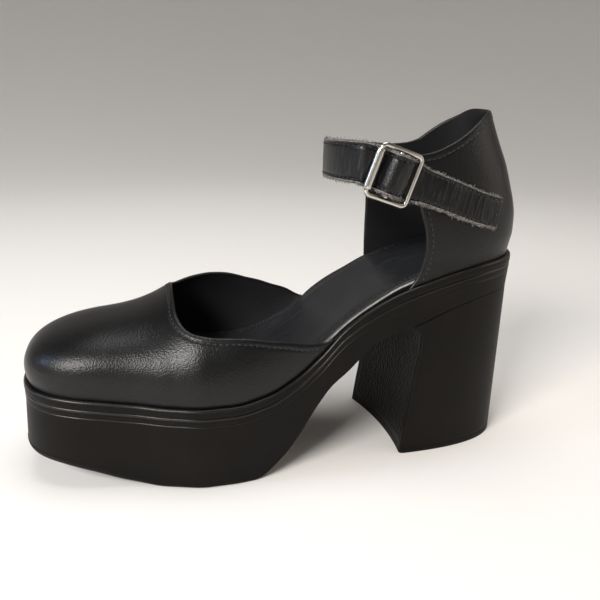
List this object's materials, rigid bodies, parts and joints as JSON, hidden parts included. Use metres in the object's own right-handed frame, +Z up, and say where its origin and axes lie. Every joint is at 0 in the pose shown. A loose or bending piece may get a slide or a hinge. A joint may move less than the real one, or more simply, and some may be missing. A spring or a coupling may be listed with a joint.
{
  "type": "platform shoe",
  "caption": "Closed-toe platform shoe for the left foot with a block heel, open waist, high back and a buckled ankle strap, standing empty on its sole.",
  "frame": {"origin": "middle of the heel's flat underside, on the floor", "axes": "+X from heel to toe, +Y to the wearer's left (the outer side, with the buckle), +Z up"},
  "size_m": [0.2441, 0.0859, 0.1685],
  "materials": {
    "sole_unit": "matte",
    "heel_block": "matte",
    "heel_top_piece": "matte",
    "insole_lining": "matte",
    "upper_leather": "satin",
    "strap_leather": "satin",
    "buckle_steel": "polished"
  },
  "bodies": {
    "root": {"sole": "sole_unit", "heel": "heel_block", "heel_tip": "heel_top_piece", "insole": "insole_lining", "vamp": "upper_leather", "quarter": "upper_leather", "strap": "strap_leather", "buckle_tab": "strap_leather", "buckle_frame": "buckle_steel", "buckle_roller": "buckle_steel", "buckle_prong": "buckle_steel"}
  },
  "joints": []
}
